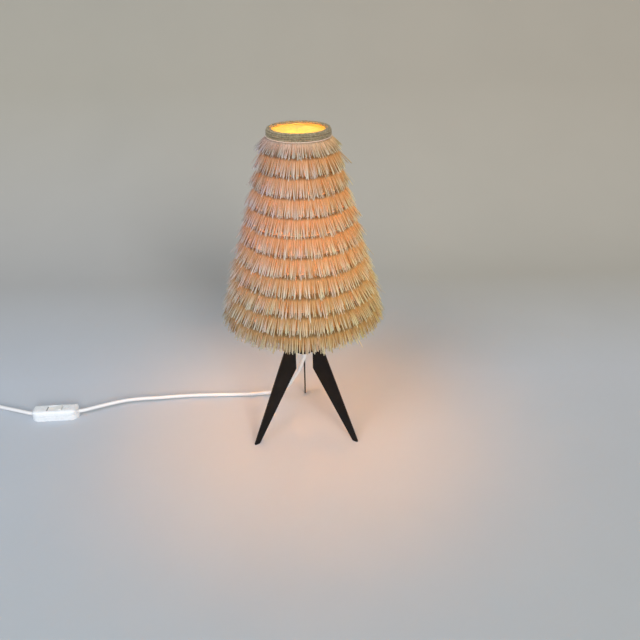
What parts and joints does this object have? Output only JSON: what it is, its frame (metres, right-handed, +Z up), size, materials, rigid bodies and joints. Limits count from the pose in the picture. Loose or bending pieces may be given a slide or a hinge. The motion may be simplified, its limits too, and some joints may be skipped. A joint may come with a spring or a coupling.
{
  "type": "table lamp",
  "caption": "Table lamp on a tripod of flat black legs, with a cone shade covered in rows of straw fringe and a rocker switch in its white cord.",
  "frame": {"origin": "on the lamp's axis at the surface that the feet stand on", "axes": "+Z up along the lamp's axis; -Y towards the viewer of the picture, so the cord runs to -X"},
  "size_m": [0.642, 0.1946, 0.4],
  "materials": {
    "black_lacquer": "satin",
    "brass": "satin",
    "steel": "satin",
    "black_plastic": "satin",
    "white_ceramic": "matte",
    "ivory_plastic": "satin",
    "white_plastic": "gloss",
    "rocker_plastic": "gloss",
    "white_cord": "satin",
    "lamp_cap": "satin",
    "bulb_glass": "gloss",
    "stem_glass": "gloss",
    "filament": "matte",
    "fibre_washer": "matte",
    "white_wire": "satin",
    "liner": "matte",
    "braid": "matte",
    "straw_upper": "matte",
    "straw_middle": "matte",
    "straw_lower": "matte",
    "tie": "matte",
    "nickel": "gloss"
  },
  "bodies": {
    "base": {"leg_back": "black_lacquer", "leg_left": "black_lacquer", "leg_right": "black_lacquer", "hub_tube": "black_lacquer", "hub_bottom_cap": "black_lacquer", "hub_top_cap": "black_lacquer", "cord_gland": "ivory_plastic", "threaded_nipple": "brass", "nipple_nuts": "brass", "holder_cap": "black_plastic", "holder_grub_screw": "steel", "holder_insert": "white_ceramic", "holder_terminals": "brass", "holder_centre_contact": "brass", "holder_screw_shell": "brass", "holder_skirt": "black_plastic", "inner_wires": "white_cord", "cord_lamp_lead": "white_cord", "cord_plug_lead": "white_cord", "cord_coil": "white_cord", "coil_tie": "tie", "cord_plug_end": "white_cord", "plug_relief": "white_plastic", "plug_body": "white_plastic", "plug_pins": "nickel", "switch_base": "white_plastic", "switch_cover": "white_plastic", "switch_rocker_pin": "steel", "switch_terminals": "brass", "switch_screws": "steel", "switch_cord_clamps": "ivory_plastic"},
    "bulb_lift": {"bulb_tip_contact": "brass"},
    "bulb": {"bulb_insulator": "black_plastic", "bulb_cap": "lamp_cap", "bulb_glass": "bulb_glass", "bulb_stem": "stem_glass", "bulb_filament": "filament"},
    "shade": {"shade_fitter_ring": "white_wire", "shade_arms": "white_wire", "shade_bottom_ring": "white_wire", "shade_top_ring": "white_wire", "shade_liner": "liner", "shade_braid": "braid", "fringe_tier_01": "straw_upper", "fringe_tier_02": "straw_upper", "fringe_tier_03": "straw_upper", "fringe_tier_04": "straw_upper", "fringe_tier_05": "straw_middle", "fringe_tier_06": "straw_middle", "fringe_tier_07": "straw_middle", "fringe_tier_08": "straw_middle", "fringe_tier_09": "straw_lower", "fringe_tier_10": "straw_lower", "fringe_tier_11": "straw_lower"},
    "ring_lift": {"shade_washer": "fibre_washer"},
    "ring_nut": {"shade_ring_nut": "black_plastic"},
    "rocker": {"switch_rocker": "rocker_plastic"},
    "contact": {"switch_contact_bar": "brass"}
  },
  "joints": [
    {"name": "bulb_slide", "type": "slide", "parent": "base", "child": "bulb_lift", "axis": [0, 0, 1], "range_m": [0, 0.0254]},
    {"name": "bulb_turn", "type": "hinge", "parent": "bulb_lift", "child": "bulb", "pos_m": [0, 0, 0.21], "axis": [0, 0, 1], "range_deg": [0, 2520]},
    {"name": "ring_slide", "type": "slide", "parent": "base", "child": "ring_lift", "axis": [0, 0, 1], "range_m": [0, 0.0101]},
    {"name": "ring_turn", "type": "hinge", "parent": "ring_lift", "child": "ring_nut", "pos_m": [0, 0, 0.2], "axis": [0, 0, 1], "range_deg": [0, 1440]},
    {"name": "shade_turn", "type": "hinge", "parent": "base", "child": "shade", "pos_m": [0, 0, 0.194], "axis": [0, 0, 1], "continuous": true},
    {"name": "rocker_tilt", "type": "hinge", "parent": "base", "child": "rocker", "pos_m": [-0.3504, 0.034, 0.0112], "axis": [-0.0384, 0.9993, 0], "range_deg": [0, 16]},
    {"name": "contact_tilt", "type": "hinge", "parent": "base", "child": "contact", "pos_m": [-0.3504, 0.034, 0.0034], "axis": [-0.0384, 0.9993, 0], "range_deg": [-12, 0]}
  ],
  "couplings": [
    {"joint": "bulb_slide", "follows": "bulb_turn", "m_per_rad": 0.0005775},
    {"joint": "ring_slide", "follows": "ring_turn", "m_per_rad": 0.00039789},
    {"joint": "contact_tilt", "follows": "rocker_tilt", "ratio": -0.75}
  ]
}
